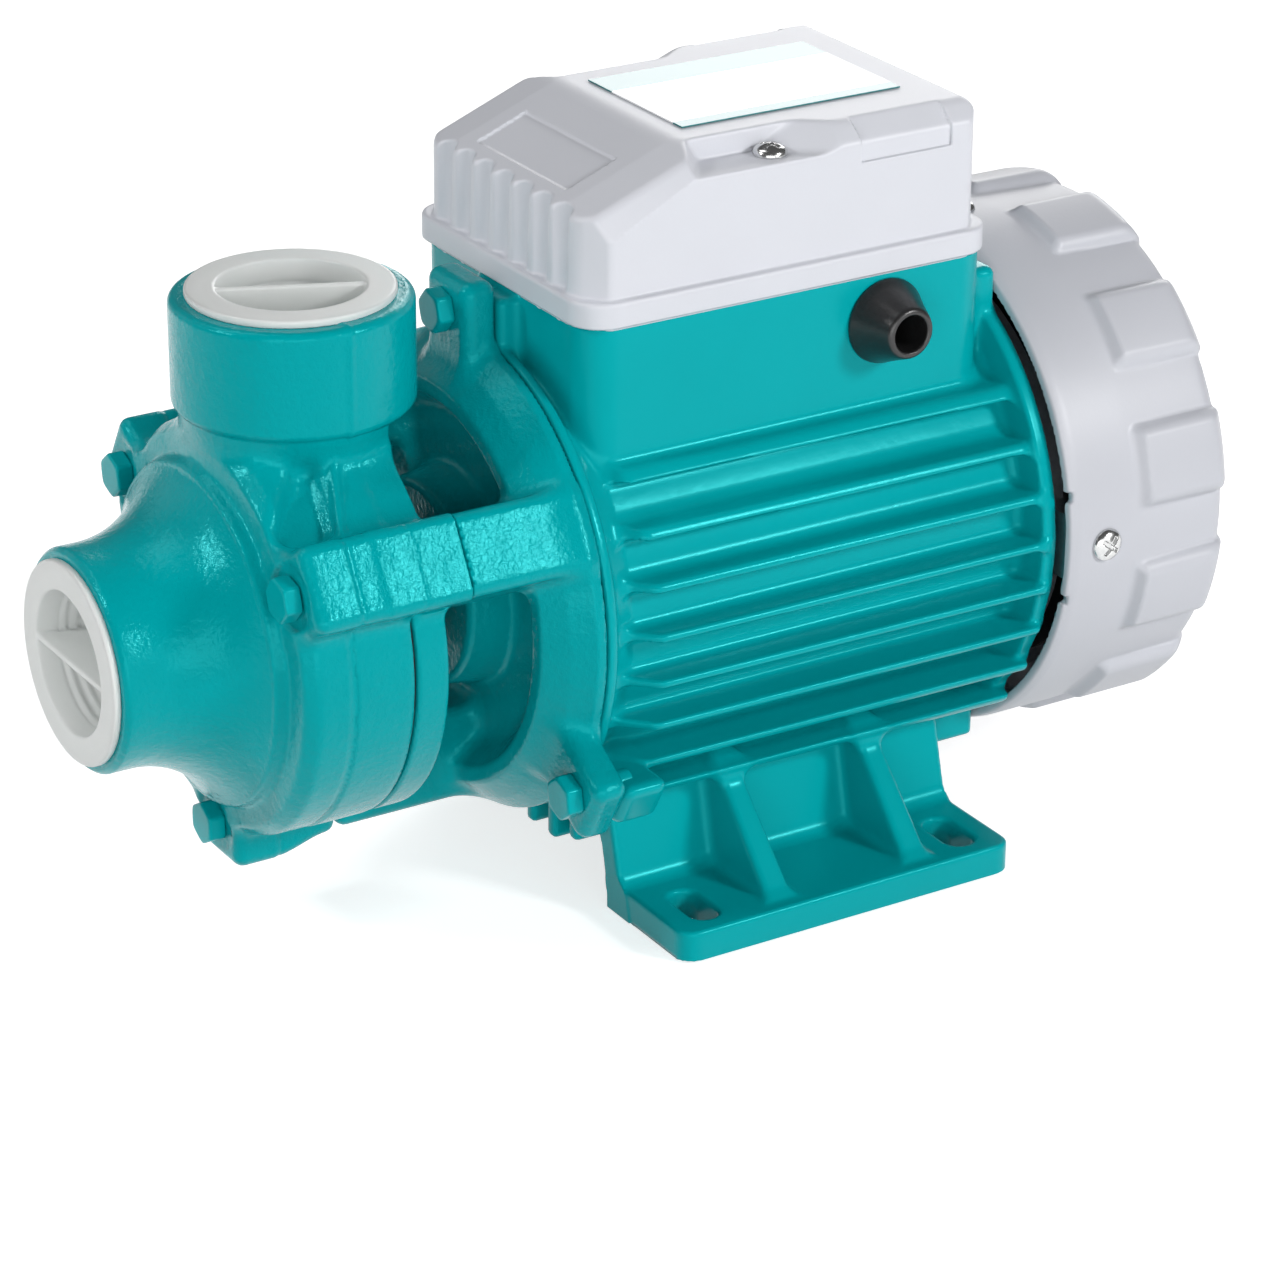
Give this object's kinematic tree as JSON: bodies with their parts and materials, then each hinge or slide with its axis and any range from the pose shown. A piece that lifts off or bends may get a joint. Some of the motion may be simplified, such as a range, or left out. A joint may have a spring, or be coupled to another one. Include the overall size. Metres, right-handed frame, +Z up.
{
  "type": "centrifugal water pump",
  "caption": "Small close-coupled surface water pump: threaded suction port at the front, threaded discharge on top, finned foot-mounted motor, terminal box and fan cowl.",
  "frame": {"origin": "centre of the foot bolt pattern, on the plane the feet stand on", "axes": "+Z up, out of the discharge port; +Y along the shaft from the suction port to the fan; +X towards the cable gland"},
  "size_m": [0.1228, 0.238, 0.1563],
  "materials": {
    "cast_iron_paint": "gloss enamel over a sand-cast surface",
    "alloy_paint": "gloss enamel over a die-cast surface",
    "bolt_paint": "gloss enamel",
    "grey_plastic": "fine satin",
    "plug_plastic": "translucent satin",
    "black_rubber": "matte",
    "zinc_steel": "bright zinc plate",
    "label_film": "printed film",
    "steel": "turned",
    "bearing_steel": "ground",
    "lamination": "stacked sheet",
    "copper": "varnished wire",
    "brass": "machined",
    "aluminium": "as cast",
    "seal_ceramic": "lapped",
    "seal_face": "carbon",
    "gasket": "matte",
    "fan_plastic": "satin",
    "capacitor_shell": "satin",
    "terminal_plastic": "matte"
  },
  "bodies": {
    "pump_body": {"pump_casing": "cast_iron_paint", "pump_bracket": "cast_iron_paint", "casing_gasket": "gasket", "casing_bolts": "bolt_paint", "flange_bolts": "bolt_paint", "seal_seat": "seal_ceramic", "motor_housing": "alloy_paint", "stator_core": "lamination", "stator_windings": "copper", "front_bearing_outer": "bearing_steel", "rear_bearing_outer": "bearing_steel", "rear_end_shield": "aluminium", "wave_washer": "steel", "fan_cover": "grey_plastic", "fan_cover_screws": "zinc_steel", "terminal_cover": "grey_plastic", "cover_gasket": "gasket", "cover_screws": "zinc_steel", "rating_plate": "label_film", "capacitor": "capacitor_shell", "capacitor_clip": "aluminium", "terminal_block": "terminal_plastic", "terminal_screws": "zinc_steel", "earth_screw": "zinc_steel", "cable_gland": "black_rubber"},
    "rotor": {"rotor_shaft": "steel", "rotor_core": "lamination", "rotor_end_rings": "aluminium", "impeller": "brass", "impeller_key": "steel", "impeller_circlip": "steel", "seal_head": "seal_face", "slinger": "gasket", "front_bearing_inner": "bearing_steel", "rear_bearing_inner": "bearing_steel", "cooling_fan": "fan_plastic", "fan_clip": "steel"},
    "front_balls": {"front_bearing_balls": "bearing_steel"},
    "rear_balls": {"rear_bearing_balls": "bearing_steel"},
    "suction_plug_body": {"suction_plug": "plug_plastic"},
    "discharge_plug_body": {"discharge_plug": "plug_plastic"}
  },
  "joints": [
    {"name": "shaft_spin", "type": "hinge", "parent": "pump_body", "child": "rotor", "pos_m": [0, 0, 0.0653], "axis": [0, 1, 0], "continuous": true},
    {"name": "front_balls_spin", "type": "hinge", "parent": "pump_body", "child": "front_balls", "pos_m": [0, 0, 0.0653], "axis": [0, 1, 0], "continuous": true},
    {"name": "rear_balls_spin", "type": "hinge", "parent": "pump_body", "child": "rear_balls", "pos_m": [0, 0, 0.0653], "axis": [0, 1, 0], "continuous": true},
    {"name": "suction_plug_pull", "type": "slide", "parent": "pump_body", "child": "suction_plug_body", "axis": [0, -1, 0], "range_m": [0, 0.08]},
    {"name": "discharge_plug_pull", "type": "slide", "parent": "pump_body", "child": "discharge_plug_body", "axis": [0, 0, 1], "range_m": [0, 0.08]}
  ],
  "couplings": [
    {"joint": "front_balls_spin", "follows": "shaft_spin", "ratio": 0.39},
    {"joint": "rear_balls_spin", "follows": "shaft_spin", "ratio": 0.375}
  ]
}
